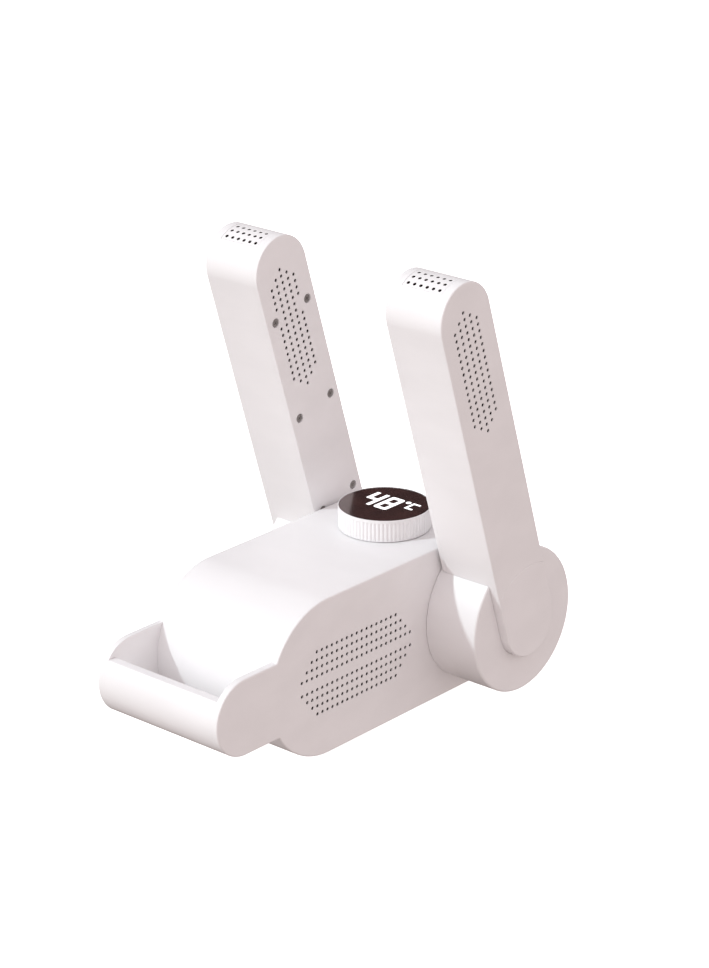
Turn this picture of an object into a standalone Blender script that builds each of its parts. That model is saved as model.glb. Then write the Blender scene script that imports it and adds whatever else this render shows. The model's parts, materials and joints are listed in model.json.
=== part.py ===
"""A folding boot dryer: a low round-ended body with a carry handle, two hollow arms on side barrels,
a ribbed dial with a round display, and the fan, heater and ducts inside.

Frame: metres, +Z up, front (the handle) towards -Y, origin on the floor under the middle of the whole object.
Each arm is drawn upright on its own axis, and its parent empty on the hinge axis leans it forward.
"""

import math

import bmesh
import bpy
from mathutils import Matrix

# Fits and walls
GAP = 0.0003
WALL = 0.0025
ARC_STEPS = 20
RING_STEPS = 24
DRUM_STEPS = 32
SMALL_STEPS = 12

# Body: two half rounds joined by flats, standing on low feet
LENGTH = 0.284
FOOT_HEIGHT = 0.002
BODY_HALF_WIDTH = 0.049
BODY_RADIUS = 0.0505
BODY_SPAN = 0.137
BODY_Z = FOOT_HEIGHT + BODY_RADIUS
BODY_TOP = FOOT_HEIGHT + 2 * BODY_RADIUS
REAR_Y = LENGTH / 2 - BODY_RADIUS
FRONT_Y = REAR_Y - BODY_SPAN
PANEL = 0.0025
WRAP_HALF_WIDTH = BODY_HALF_WIDTH - PANEL - GAP
BASE_LIP = 0.014
FOOT_RADIUS = 0.007
FOOT_RECESS = 0.0008

# Screws: the hole they pass or bite in, their shank, and the posts they screw into
SCREW_HOLE = 0.0017
SCREW_SHANK = 0.0014
SCREW_POST = 0.0032

# Cord outlet: a short boss on the rear curve, pointing straight back
GLAND_RADIUS = 0.0075
GLAND_NECK = 0.005
GLAND_BORE = 0.0036
GLAND_Z = BODY_Z - 0.020
GLAND_FACE = REAR_Y + BODY_RADIUS - 0.0003

# Handle: a smaller half round in front of the body, held between two cheeks
NOSE_RADIUS = 0.0243
NOSE_Y = NOSE_RADIUS - LENGTH / 2
NOSE_Z = FOOT_HEIGHT + 0.0493
CHEEK = 0.0045
BAR_WALL = 0.005
BAR_TOP = 0.0664

# Intake grille in each side panel: rows of slots, longest in the middle
GRILLE_Y = REAR_Y - 0.1113
GRILLE_Z = FOOT_HEIGHT + 0.0492
GRILLE_PITCH = 0.00448
GRILLE_ROW_PITCH = 0.0053
GRILLE_HALF_SPLIT = 0.0044
GRILLE_COUNTS = (23, 21, 19, 17)
SLOT = 0.0022

# Hinges and barrels, one on each side
HINGE_Y = REAR_Y
HINGE_Z = 0.0544
BARREL_RADIUS = 0.0470
BARREL_IN = 0.0495
BARREL_OUT = 0.0878
BARREL_WEB = 0.0520
SLEEVE_RADIUS = 0.018
SLEEVE_BORE = 0.0155
SLEEVE_FLANGE = 0.023
SLEEVE_IN = 0.043
SLEEVE_OUT = 0.058

# Arms
LEAN = math.radians(17.0)
ARM_RADIUS = 0.0225
ARM_SPAN = 0.2227
ARM_IN = 0.0510
COVER_OUT = 0.0540
ARM_OUT = 0.0939
ARM_MIDDLE = (ARM_IN + ARM_OUT) / 2
CAP_REACH = 0.0385
WELL_RADIUS = 0.0030
WELL_DEPTH = 0.0016
WELLS = [(across, up) for up in (0.0525, 0.1235, 0.194) for across in (-0.0151, 0.0151)]
ARM_PITCH = 0.0046
ARM_COLUMN_PITCH = 0.0051
ARM_COUNTS = (15, 17, 19, 17, 15)
OUTER_GRILLE_UP = 0.1864
INNER_GRILLE_UP = 0.1829
ARM_GRILLE_ACROSS = -0.0013
TIP_ROWS = (-17.0, -3.5, 10.0)
TIP_WINDOW = (-24.0, 18.0)
TIP_HALF_WIDTH = 0.015

# Dial
DIAL_Y = REAR_Y - 0.029
DIAL_RADIUS = 0.0292
DIAL_NECK = 0.022
DIAL_TOP = BODY_TOP + 0.0146

# Fan, heater and duct, in line along the body
FAN_Y = GRILLE_Y
FAN_Z = GRILLE_Z
SCROLL_RADIUS = 0.036
SCROLL_HALF_WIDTH = 0.024
SCROLL_WALL = 0.002
OUTLET_HALF_HEIGHT = 0.018
OUTLET_Y = FAN_Y + 0.0418
SHAFT_RADIUS = 0.0025
DUCT_Z = 0.0528
HEATER_HALF_WIDTH = 0.026
HEATER_HALF_HEIGHT = 0.021
HEATER_END = OUTLET_Y + 0.022

COLOURS = {
    "white_plastic": ((0.86, 0.85, 0.85, 1.0), 0.38, 0.0),
    "black_lens": ((0.012, 0.010, 0.010, 1.0), 0.08, 0.0),
    "grey_plastic": ((0.16, 0.16, 0.17, 1.0), 0.55, 0.0),
    "rubber": ((0.03, 0.03, 0.03, 1.0), 0.8, 0.0),
    "steel": ((0.55, 0.55, 0.56, 1.0), 0.35, 1.0),
    "aluminium": ((0.78, 0.78, 0.80, 1.0), 0.4, 1.0),
    "circuit_board": ((0.02, 0.16, 0.07, 1.0), 0.5, 0.0),
    "acetal": ((0.75, 0.73, 0.68, 1.0), 0.45, 0.0),
}


# ---------------------------------------------------------------- tools


def clear_scene():
    for old in list(bpy.data.objects):
        bpy.data.objects.remove(old, do_unlink=True)


def new_collection(name):
    made = bpy.data.collections.new(name)
    bpy.context.scene.collection.children.link(made)
    return made


def add_material(piece, kind):
    """Gives the piece a material of its own, of one of the kinds in COLOURS."""
    colour, roughness, metallic = COLOURS[kind]
    made = bpy.data.materials.new(piece.name)
    made.use_nodes = True
    shader = made.node_tree.nodes["Principled BSDF"]
    shader.inputs["Base Color"].default_value = colour
    shader.inputs["Roughness"].default_value = roughness
    shader.inputs["Metallic"].default_value = metallic
    made.diffuse_color = colour
    piece.data.materials.clear()
    piece.data.materials.append(made)


def add_object(name, mesh, kind=None, parent=None):
    """Links a piece to the part's collection, or a cutter, which has no kind, to the cutters' one."""
    piece = bpy.data.objects.new(name, mesh)
    if kind is None:
        CUTTERS.objects.link(piece)
        piece.hide_render = True
        piece.display_type = "WIRE"
    else:
        PARTS.objects.link(piece)
        add_material(piece, kind)
    piece.parent = parent
    return piece


def arc(centre, radius, start, end, steps=ARC_STEPS):
    """Points of an arc from start to end degrees, counted from the first axis towards the second."""
    points = []
    for step in range(steps + 1):
        angle = math.radians(start + (end - start) * step / steps)
        points.append((centre[0] + radius * math.cos(angle), centre[1] + radius * math.sin(angle)))
    return points


def circle(centre, radius, steps=RING_STEPS):
    return arc(centre, radius, 0, 360, steps)[:-1]


def rectangle(low, high):
    return [(low[0], low[1]), (high[0], low[1]), (high[0], high[1]), (low[0], high[1])]


def upright_stadium(radius, bottom=0.0, top=ARM_SPAN):
    return arc((0, top), radius, 0, 180) + arc((0, bottom), radius, 180, 360)


# How a flat drawing's two directions and its thickness turn into X, Y and Z. Across Y, thickness runs to -Y.
AXES = {
    "X": Matrix(((0, 0, 1), (1, 0, 0), (0, 1, 0))).to_4x4(),
    "Y": Matrix(((1, 0, 0), (0, 0, -1), (0, 1, 0))).to_4x4(),
    "Z": Matrix.Identity(4),
}


def plate_mesh(name, outlines, low, high, across):
    """A flat plate between low and high on one axis. The first outline is its edge, the others are holes."""
    curve = bpy.data.curves.new(name, "CURVE")
    curve.dimensions = "2D"
    curve.fill_mode = "BOTH"
    curve.extrude = (high - low) / 2
    for outline in outlines:
        spline = curve.splines.new("POLY")
        spline.points.add(len(outline) - 1)
        for point, (first, second) in zip(spline.points, outline):
            point.co = (first, second, 0, 1)
        spline.use_cyclic_u = True
    drawn = bpy.data.objects.new(name, curve)
    bpy.context.scene.collection.objects.link(drawn)
    evaluated = drawn.evaluated_get(bpy.context.evaluated_depsgraph_get())
    mesh = bpy.data.meshes.new_from_object(evaluated)
    bpy.data.objects.remove(drawn)
    bpy.data.curves.remove(curve)
    middle = (low + high) / 2
    if across == "Y":
        middle = -middle
    mesh.transform(AXES[across] @ Matrix.Translation((0, 0, middle)))
    tidy = bmesh.new()
    tidy.from_mesh(mesh)
    bmesh.ops.remove_doubles(tidy, verts=tidy.verts, dist=1e-7)
    bmesh.ops.recalc_face_normals(tidy, faces=tidy.faces)
    tidy.to_mesh(mesh)
    tidy.free()
    return mesh


def plate(name, outlines, low, high, kind=None, across="X", parent=None):
    return add_object(name, plate_mesh(name, outlines, low, high, across), kind, parent)


def box(name, low, high, kind=None, parent=None):
    """A box between two corners."""
    return plate(name, [rectangle(low[:2], high[:2])], low[2], high[2], kind, "Z", parent)


def turned(name, profile, kind=None, parent=None, steps=RING_STEPS, closed=True):
    """A profile of (radius, height) points turned about +Z. It runs down its outer side."""
    mesh = bpy.data.meshes.new(name)
    edges = [(i, i + 1) for i in range(len(profile) - 1)]
    if closed:
        edges.append((len(profile) - 1, 0))
    mesh.from_pydata([(radius, 0, height) for radius, height in profile], edges, [])
    piece = add_object(name, mesh, kind, parent)
    screw = piece.modifiers.new("Turn", "SCREW")
    screw.steps = steps
    screw.render_steps = steps
    screw.use_merge_vertices = True
    screw.merge_threshold = 1e-6
    screw.use_smooth_shade = False
    return piece


def pin_profile(radius, low, high):
    """The profile of a plain round bar, drawn from its top centre to its bottom centre."""
    return [(0, high), (radius, high), (radius, low), (0, low)]


def screw_profile(head_radius, head, under_head, tip):
    """The profile of a pan-head screw whose head is at its low end."""
    shank = [(0, tip), (SCREW_SHANK, tip), (SCREW_SHANK, under_head)]
    return shank + [(head_radius, under_head), (head_radius, head), (0, head)]


def pin(name, radius, low, high, kind=None, parent=None, steps=SMALL_STEPS):
    return turned(name, pin_profile(radius, low, high), kind, parent, steps, closed=False)


def lay_on_x(piece, side=1, at=(0, 0)):
    """Turns a piece made about +Z so that it lies along X, pointing outwards on the given side."""
    piece.rotation_euler = (0, side * math.pi / 2, 0)
    piece.location = (0, at[0], at[1])
    return piece


def mirror_x(low, high, side):
    """The X range of a piece on the given side, low end first."""
    return (low, high) if side > 0 else (-high, -low)


def use(piece, cutter, operation="DIFFERENCE"):
    boolean = piece.modifiers.new(operation.title(), "BOOLEAN")
    boolean.operation = operation
    boolean.solver = "EXACT"
    boolean.object = cutter


def empty(name, location, lean=0.0):
    made = bpy.data.objects.new(name, None)
    PARTS.objects.link(made)
    made.location = location
    made.rotation_euler = (lean, 0, 0)
    return made


# ---------------------------------------------------------------- body shells


def body_outline():
    """The side view of the body and the handle's nose, as one line."""
    nose_top = NOSE_Z + NOSE_RADIUS - BODY_Z
    nose_bottom = NOSE_Z - NOSE_RADIUS - BODY_Z
    meets_top = 180 - math.degrees(math.asin(nose_top / BODY_RADIUS))
    meets_bottom = 180 - math.degrees(math.asin(nose_bottom / BODY_RADIUS))
    return (
        arc((REAR_Y, BODY_Z), BODY_RADIUS, -90, 90)
        + arc((FRONT_Y, BODY_Z), BODY_RADIUS, 90, meets_top, ARC_STEPS // 2)
        + arc((NOSE_Y, NOSE_Z), NOSE_RADIUS, 90, 270)
        + arc((FRONT_Y, BODY_Z), BODY_RADIUS, meets_bottom, 270, ARC_STEPS // 2)
    )


def grille_slots():
    """One slot for each row of the side panel's holes."""
    slots = []
    for row, count in enumerate(GRILLE_COUNTS):
        half = (count - 1) * GRILLE_PITCH / 2 + SLOT / 2
        for side in (-1, 1):
            z = GRILLE_Z + side * (GRILLE_HALF_SPLIT + row * GRILLE_ROW_PITCH)
            slots.append(rectangle((GRILLE_Y - half, z - SLOT / 2), (GRILLE_Y + half, z + SLOT / 2)))
    return slots


def cheek_outline():
    """The thick part of the panel: the nose, as far back as the body's front curve."""
    clear = BODY_RADIUS + GAP
    back_top = 180 - math.degrees(math.asin((NOSE_Z + NOSE_RADIUS - BODY_Z) / clear))
    back_bottom = 180 - math.degrees(math.asin((NOSE_Z - NOSE_RADIUS - BODY_Z) / clear))
    return arc((NOSE_Y, NOSE_Z), NOSE_RADIUS, 90, 270) + arc(
        (FRONT_Y, BODY_Z), clear, back_bottom, back_top, ARC_STEPS // 2
    )


def side_panel(name, side):
    bore = circle((HINGE_Y, HINGE_Z), SLEEVE_RADIUS + GAP)
    low, high = mirror_x(BODY_HALF_WIDTH - PANEL, BODY_HALF_WIDTH, side)
    panel = plate(name, [body_outline(), bore] + grille_slots(), low, high, "white_plastic")
    low, high = mirror_x(BODY_HALF_WIDTH - CHEEK, BODY_HALF_WIDTH - PANEL / 2, side)
    use(panel, plate(name + "_cheek", [cheek_outline()], low, high), "UNION")
    return panel


def main_housing():
    """A wrap of constant wall, with an inward lip at each end that the base plate screws to."""
    inside = BODY_RADIUS - WALL
    lip_low = FOOT_HEIGHT + WALL + GAP
    lip_high = lip_low + WALL
    lip_angle = math.degrees(math.asin((BODY_Z - lip_high) / inside))
    outline = arc((FRONT_Y, BODY_Z), BODY_RADIUS, 270, 90)
    outline += arc((REAR_Y, BODY_Z), BODY_RADIUS, 90, -90)
    outline += [(REAR_Y, lip_low), (REAR_Y - BASE_LIP, lip_low), (REAR_Y - BASE_LIP, lip_high)]
    outline += arc((REAR_Y, BODY_Z), inside, -lip_angle, 90)
    outline += arc((FRONT_Y, BODY_Z), inside, 90, 180 + lip_angle)
    outline += [(FRONT_Y + BASE_LIP, lip_high), (FRONT_Y + BASE_LIP, lip_low), (FRONT_Y, lip_low)]
    housing = plate("main_housing", [outline], -WRAP_HALF_WIDTH, WRAP_HALF_WIDTH, "white_plastic")
    hole = pin("dial_hole", DIAL_NECK + GAP, BODY_TOP - 0.01, BODY_TOP + 0.01, steps=RING_STEPS)
    hole.location = (0, DIAL_Y, 0)
    use(housing, hole)
    gland_hole = pin("gland_hole", GLAND_NECK + GAP, REAR_Y + 0.03, GLAND_FACE + 0.01, steps=20)
    use(housing, lay_on_y(gland_hole, GLAND_Z))
    for x, y in base_screw_places():
        hole = pin("lip_hole", SCREW_HOLE, lip_low - 0.005, lip_high + 0.005)
        hole.location = (x, y, 0)
        use(housing, hole)
    return housing


def handle_bar():
    inner = NOSE_RADIUS - BAR_WALL
    outer_start = 180 - math.degrees(math.asin((BAR_TOP - NOSE_Z) / NOSE_RADIUS))
    inner_start = 180 - math.degrees(math.asin((BAR_TOP - NOSE_Z) / inner))
    outline = arc((NOSE_Y, NOSE_Z), NOSE_RADIUS, outer_start, 270)
    outline += arc((NOSE_Y, NOSE_Z), inner, 270, inner_start)
    half = BODY_HALF_WIDTH - CHEEK - GAP
    return plate("handle_bar", [outline], -half, half, "white_plastic")


def base_screw_places():
    return [(x, y) for y in (FRONT_Y + 0.008, REAR_Y - 0.008) for x in (-0.036, 0.036)]


def foot_places():
    return [(x, y) for y in (FRONT_Y + 0.022, REAR_Y - 0.022) for x in (-0.034, 0.034)]


def base_plate():
    """The flat bottom, with slots for air, a recess for each foot, and ribs that carry the fan and heater."""
    slot_pitch, half_slot, slot_reach = 0.008, 0.0015, 0.024
    slots = []
    for step in range(-3, 4):
        y = FAN_Y + step * slot_pitch
        slots.append(rectangle((-slot_reach, y - half_slot), (slot_reach, y + half_slot)))
    edge = rectangle((-WRAP_HALF_WIDTH, FRONT_Y + GAP), (WRAP_HALF_WIDTH, REAR_Y - GAP))
    low, high = FOOT_HEIGHT, FOOT_HEIGHT + WALL
    base = plate("base_plate", [edge] + slots, low, high, "white_plastic", "Z")
    for x, y in foot_places():
        recess = pin("foot_recess", FOOT_RADIUS + GAP, low - 0.002, low + FOOT_RECESS, steps=16)
        recess.location = (x, y, 0)
        use(base, recess)
    head_clearance, head_sink = 0.0033, 0.0013
    for x, y in base_screw_places():
        for radius, top in ((head_clearance, low + head_sink), (SCREW_HOLE, high + 0.002)):
            hole = pin("base_hole", radius, low - 0.002, top)
            hole.location = (x, y, 0)
            use(base, hole)
    for y, top in support_rib_places():
        half_width, half_rib = 0.020, 0.001
        rib = box("support_rib", (-half_width, y - half_rib, high - 0.001), (half_width, y + half_rib, top))
        use(base, rib, "UNION")


def support_rib_places():
    """Where each rib stands, between two air slots or under the heater, and its height."""
    places = []
    for offset, nearest in ((-0.004, 0.003), (0.012, 0.011)):
        scroll_low = FAN_Z - math.sqrt(SCROLL_RADIUS ** 2 - nearest ** 2)
        places.append((FAN_Y + offset, scroll_low - GAP))
    places.append(((OUTLET_Y + HEATER_END) / 2, DUCT_Z - HEATER_HALF_HEIGHT - GAP))
    return places


def feet_and_base_screws():
    for number, (x, y) in enumerate(foot_places(), 1):
        foot = pin(f"foot_{number}", FOOT_RADIUS, 0, FOOT_HEIGHT + FOOT_RECESS - GAP, "rubber", steps=16)
        foot.location = (x, y, 0)
    profile = screw_profile(0.003, 0, 0.0009, 0.009)
    for number, (x, y) in enumerate(base_screw_places(), 1):
        screw = turned(f"base_screw_{number}", profile, "steel", steps=SMALL_STEPS, closed=False)
        screw.location = (x, y, FOOT_HEIGHT + 0.0001)


def lay_on_y(piece, z):
    """Turns a piece made about +Z so that it lies along Y at the given height."""
    piece.rotation_euler = (-math.pi / 2, 0, 0)
    piece.location = (0, 0, z)
    return piece


def cord_gland():
    """A boss whose inner side follows the rear curve, with a neck through the wall and a bore for a cord."""
    start = REAR_Y + 0.036
    gland = lay_on_y(pin("cord_gland", GLAND_RADIUS, start, GLAND_FACE, "rubber", steps=20), GLAND_Z)
    curve = pin("rear_curve", BODY_RADIUS + GAP, -0.05, 0.05, steps=4 * ARC_STEPS)
    use(gland, lay_on_x(curve, at=(REAR_Y, BODY_Z)))
    use(gland, lay_on_y(pin("gland_neck", GLAND_NECK, start, GLAND_FACE - 0.001, steps=20), GLAND_Z), "UNION")
    use(gland, lay_on_y(pin("gland_bore", GLAND_BORE, start - 0.01, GLAND_FACE + 0.01, steps=20), GLAND_Z))


# ---------------------------------------------------------------- fan, heater and duct


def scroll_outline(radius, half_height, end):
    neck = math.degrees(math.asin(half_height / radius))
    outline = arc((FAN_Y, FAN_Z), radius, neck, 360 - neck, ARC_STEPS + 4)
    return outline + [(end, FAN_Z - half_height), (end, FAN_Z + half_height)]


def fan_housing():
    width, wall = SCROLL_HALF_WIDTH, SCROLL_WALL
    outline = scroll_outline(SCROLL_RADIUS, OUTLET_HALF_HEIGHT, OUTLET_Y)
    housing = plate("fan_housing", [outline], -width, width, "grey_plastic")
    inside = scroll_outline(SCROLL_RADIUS - wall, OUTLET_HALF_HEIGHT - wall, OUTLET_Y + 0.01)
    use(housing, plate("scroll_inside", [inside], wall - width, width - wall))
    inlet = pin("fan_inlet", 0.020, -width - 0.01, width + 0.01, steps=20)
    use(housing, lay_on_x(inlet, at=(FAN_Y, FAN_Z)))


def fan_impeller():
    """Twelve straight blades on a hub, cut from one outline."""
    blades, hub, tip, half_blade = 12, 0.008, 0.030, 0.0008
    outline = []
    for blade in range(blades):
        angle = 2 * math.pi * blade / blades
        for out, aside in ((hub, -half_blade), (tip, -half_blade), (tip, half_blade), (hub, half_blade)):
            first = out * math.cos(angle) - aside * math.sin(angle)
            second = out * math.sin(angle) + aside * math.cos(angle)
            outline.append((first, second))
    width = SCROLL_HALF_WIDTH - SCROLL_WALL - 0.002
    axle = empty("fan_axis", (0, FAN_Y, FAN_Z))
    bore = circle((0, 0), SHAFT_RADIUS + GAP, SMALL_STEPS)
    plate("fan_impeller", [outline, bore], -width, width, "grey_plastic", parent=axle)
    shaft = pin("motor_shaft", SHAFT_RADIUS, -0.0345, width, "steel", axle)
    shaft.rotation_euler = (0, math.pi / 2, 0)


def fan_motor():
    """A can on the left of the scroll, with a blind bore for the shaft and a lug each side of the inlet."""
    can, bore = 0.013, SHAFT_RADIUS + GAP
    face, end, bore_end = SCROLL_HALF_WIDTH + GAP, 0.043, 0.036
    profile = [(0, end), (can, end), (can, face), (bore, face), (bore, bore_end), (0, bore_end)]
    motor = turned("fan_motor", profile, "steel", steps=20, closed=False)
    lay_on_x(motor, -1, (FAN_Y, FAN_Z))
    for side in (-1, 1):
        near, far = sorted((FAN_Y + side * (can - 0.002), FAN_Y + side * 0.025))
        lug = rectangle((near, FAN_Z - 0.004), (far, FAN_Z + 0.004))
        use(motor, plate("motor_lug", [lug], -face - 0.002, -face), "UNION")


def heater():
    start, end = OUTLET_Y + GAP, HEATER_END
    half_width, half_height, wall = HEATER_HALF_WIDTH, HEATER_HALF_HEIGHT, 0.002
    edge = rectangle((-half_width, DUCT_Z - half_height), (half_width, DUCT_Z + half_height))
    inner_width, inner_height = half_width - wall, half_height - wall
    opening = rectangle((-inner_width, DUCT_Z - inner_height), (inner_width, DUCT_Z + inner_height))
    plate("heater_frame", [edge, opening], start, end, "grey_plastic", "Y")
    core_width, core_height = inner_width - GAP, inner_height - GAP
    core = rectangle((-core_width, DUCT_Z - core_height), (core_width, DUCT_Z + core_height))
    rows, bar = 6, 0.0016
    pitch = (2 * core_height - bar) / rows
    slots = []
    for row in range(rows):
        low = DUCT_Z - core_height + bar + row * pitch
        slots.append(rectangle((-core_width + bar, low), (core_width - bar, low + pitch - bar)))
    plate("heater_core", [core] + slots, start + 0.004, end - 0.004, "aluminium", "Y")
    fuse = pin("thermal_fuse", 0.003, -0.009, 0.009, "steel")
    lay_on_x(fuse, at=((start + end) / 2, DUCT_Z + half_height + 0.0034))


def air_manifold():
    """A cross tube on the hinge axis, open at both ends, with a square neck from the heater."""
    start, end = HEATER_END + GAP, HINGE_Y - 0.008
    wall, tube, half = 0.002, 0.020, SLEEVE_IN - GAP
    width, height = HEATER_HALF_WIDTH, 0.017
    manifold = pin("air_manifold", tube, -half, half, "grey_plastic", steps=RING_STEPS)
    bore = pin("manifold_bore", tube - wall, -half - 0.01, half + 0.01, steps=RING_STEPS)
    for turned_piece in (manifold, bore):
        lay_on_x(turned_piece, at=(HINGE_Y, HINGE_Z))
    neck = box("neck", (-width, start, HINGE_Z - height), (width, end, HINGE_Z + height))
    neck_inside = box(
        "neck_inside",
        (wall - width, start - 0.01, HINGE_Z - height + wall),
        (width - wall, end, HINGE_Z + height - wall),
    )
    use(manifold, neck, "UNION")
    use(manifold, neck_inside)
    use(manifold, bore)


def control_board():
    """An upright board held in the front curve, with a relay, a capacitor and a terminal block."""
    y, thickness, half_width = FAN_Y - SCROLL_RADIUS - 0.004, 0.0016, 0.036
    reach = math.sqrt((BODY_RADIUS - WALL) ** 2 - (FRONT_Y - y + thickness) ** 2) - 2 * GAP
    edge = rectangle((-half_width, BODY_Z - reach), (half_width, BODY_Z + reach))
    board = plate("control_board", [edge], y - thickness, y, "circuit_board", "Y")
    for name, low, high in (
        ("relay", (-0.030, 0.034), (-0.014, 0.052)),
        ("capacitor", (-0.006, 0.034), (0.008, 0.048)),
        ("terminals", (0.014, 0.032), (0.032, 0.044)),
    ):
        use(board, plate(name, [rectangle(low, high)], y - 0.013, y - 0.001, across="Y"), "UNION")


# ---------------------------------------------------------------- dial


def dial():
    axis = empty("dial_axis", (0, DIAL_Y, 0))
    seat_bottom, shoulder = BODY_TOP - 0.006, BODY_TOP + GAP
    flange_low, flange_high = DIAL_TOP - 0.0046, DIAL_TOP - 0.0036
    seat, flange, bore = 0.025, 0.0276, 0.019
    profile = [(flange, flange_high), (flange, flange_low), (seat, flange_low), (seat, shoulder)]
    profile += [(DIAL_NECK, shoulder), (DIAL_NECK, seat_bottom), (bore, seat_bottom), (bore, flange_high)]
    turned("dial_seat", profile, "white_plastic", axis)
    lens_low, lens_high = flange_high + GAP, DIAL_TOP - 0.0003
    pin("display_lens", flange, lens_low, lens_high, "black_lens", axis, DRUM_STEPS)
    pin("display_module", bore - GAP, flange_high - 0.0040, flange_high, "circuit_board", axis, 20)
    ring_low, lip, bevel = BODY_TOP + 0.0004, flange + GAP, 0.0004
    profile = [(DIAL_RADIUS - bevel, DIAL_TOP), (DIAL_RADIUS, DIAL_TOP - bevel), (DIAL_RADIUS, ring_low)]
    step, inner = flange_low - GAP, seat + GAP
    profile += [(inner, ring_low), (inner, step), (lip, step), (lip, DIAL_TOP)]
    turned("dial_ring", profile, "white_plastic", axis, DRUM_STEPS)


# ---------------------------------------------------------------- hinges and arms


def hinge(side_name, side):
    """The fixed hollow sleeve that an arm turns on, and the ring that keeps the arm on it."""
    profile = [(SLEEVE_RADIUS, SLEEVE_OUT), (SLEEVE_RADIUS, WRAP_HALF_WIDTH)]
    profile += [(SLEEVE_FLANGE, WRAP_HALF_WIDTH), (SLEEVE_FLANGE, SLEEVE_IN)]
    profile += [(SLEEVE_BORE, SLEEVE_IN), (SLEEVE_BORE, SLEEVE_OUT)]
    sleeve = turned(side_name + "_hinge_sleeve", profile, "grey_plastic")
    lay_on_x(sleeve, side, (HINGE_Y, HINGE_Z))
    low, high = BARREL_WEB + 0.0016, BARREL_WEB + 0.0030
    inner, outer = SLEEVE_RADIUS + GAP, ARM_RADIUS - WALL - GAP
    profile = [(outer, high), (outer, low), (inner, low), (inner, high)]
    lay_on_x(turned(side_name + "_retaining_ring", profile, "steel"), side, (HINGE_Y, HINGE_Z))


def barrel(side_name, side, axis):
    """A drum with a web that runs on the sleeve, open where the arm passes through its top and face."""
    inside, bore, centre = BARREL_RADIUS - WALL, SLEEVE_RADIUS + GAP, 0.012
    profile = [(BARREL_RADIUS, BARREL_OUT), (BARREL_RADIUS, BARREL_IN), (bore, BARREL_IN), (bore, BARREL_WEB)]
    profile += [(inside, BARREL_WEB), (inside, BARREL_OUT - WALL)]
    profile += [(centre, BARREL_OUT - WALL), (centre, BARREL_OUT)]
    drum = lay_on_x(turned(side_name + "_barrel", profile, "white_plastic", axis, DRUM_STEPS), side)
    low, high = mirror_x(COVER_OUT, ARM_OUT + 0.01, side)
    passage = [upright_stadium(ARM_RADIUS + GAP, top=0.08)]
    use(drum, plate(side_name + "_arm_passage", passage, low, high, parent=axis))


def arm_columns(centre_up, split=False):
    """One slot for each column of an arm grille. The inner grille's outer columns part round two wells."""
    slots = []
    for column, count in enumerate(ARM_COUNTS):
        across = ARM_GRILLE_ACROSS + (column - 2) * ARM_COLUMN_PITCH
        half = (count - 1) * ARM_PITCH / 2 + SLOT / 2
        stretches = [(centre_up - half, centre_up + half)]
        if split and count == min(ARM_COUNTS):
            top = centre_up + half
            upper = top - 3 * ARM_PITCH - SLOT
            stretches = [(centre_up - half, upper - 3 * ARM_PITCH + SLOT), (upper, top)]
        for low, high in stretches:
            slots.append(rectangle((across - SLOT / 2, low), (across + SLOT / 2, high)))
    return slots


def tip_sector(inner, outer, start, end):
    """A piece of the round tip, between two angles counted from the arm's own line towards the rear."""
    outside = arc((0, ARM_SPAN), outer, 90 - start, 90 - end, 8)
    return outside + arc((0, ARM_SPAN), inner, 90 - end, 90 - start, 8)


def cap_outline(grow=0.0):
    """The arm's lower end: round below, straight sides, and an arc about the hinge across its top."""
    side, top = ARM_RADIUS + grow, CAP_REACH + grow
    corner = math.degrees(math.acos(side / top))
    return arc((0, 0), top, corner, 180 - corner) + arc((0, 0), side, 180, 360)


def arm_shell(side_name, side, axis):
    """The arm's outer half: an open tray with a post for each screw."""
    tray_in = COVER_OUT + GAP
    low, high = mirror_x(tray_in, ARM_OUT, side)
    outline = upright_stadium(ARM_RADIUS)
    shell = plate(side_name + "_arm_shell", [outline], low, high, "white_plastic", parent=axis)

    def cut(suffix, outline, start, end):
        a, b = mirror_x(start, end, side)
        use(shell, plate(f"{side_name}_{suffix}", [outline], a, b, parent=axis))

    cut("arm_inside", upright_stadium(ARM_RADIUS - WALL), tray_in - 0.01, ARM_OUT - WALL)
    cut("cap_recess", cap_outline(GAP), ARM_OUT - WALL - GAP, ARM_OUT + 0.01)
    window = tip_sector(ARM_RADIUS - 0.006, ARM_RADIUS + 0.006, *TIP_WINDOW)
    cut("tip_window", window, ARM_MIDDLE - TIP_HALF_WIDTH, ARM_MIDDLE + TIP_HALF_WIDTH)
    for number, slot in enumerate(arm_columns(OUTER_GRILLE_UP)):
        cut(f"outer_slot_{number}", slot, ARM_OUT - 0.01, ARM_OUT + 0.01)
    for number, place in enumerate(WELLS):
        low, high = mirror_x(tray_in, ARM_OUT - WALL / 2, side)
        post = plate(f"{side_name}_post_{number}", [circle(place, SCREW_POST, 8)], low, high, parent=axis)
        use(shell, post, "UNION")
        cut(f"pilot_{number}", circle(place, SCREW_HOLE, 8), tray_in - 0.005, tray_in + 0.012)


def inner_cover(side_name, side, axis):
    """The flat lid on the arm's inner side. Its foot follows the barrel."""
    clear = BARREL_RADIUS + GAP
    meets = math.degrees(math.acos(ARM_RADIUS / clear))
    outline = arc((0, ARM_SPAN), ARM_RADIUS, 0, 180) + arc((0, 0), clear, 180 - meets, meets, 10)
    low, high = mirror_x(ARM_IN, COVER_OUT, side)
    holes = [circle(place, SCREW_HOLE, 8) for place in WELLS]
    cover = plate(
        side_name + "_inner_cover",
        [outline] + arm_columns(INNER_GRILLE_UP, split=True) + holes,
        low, high, "white_plastic", parent=axis,
    )
    for number, place in enumerate(WELLS):
        low, high = mirror_x(ARM_IN - 0.002, ARM_IN + WELL_DEPTH, side)
        well = circle(place, WELL_RADIUS, SMALL_STEPS)
        use(cover, plate(f"{side_name}_well_{number}", [well], low, high, parent=axis))


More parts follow.
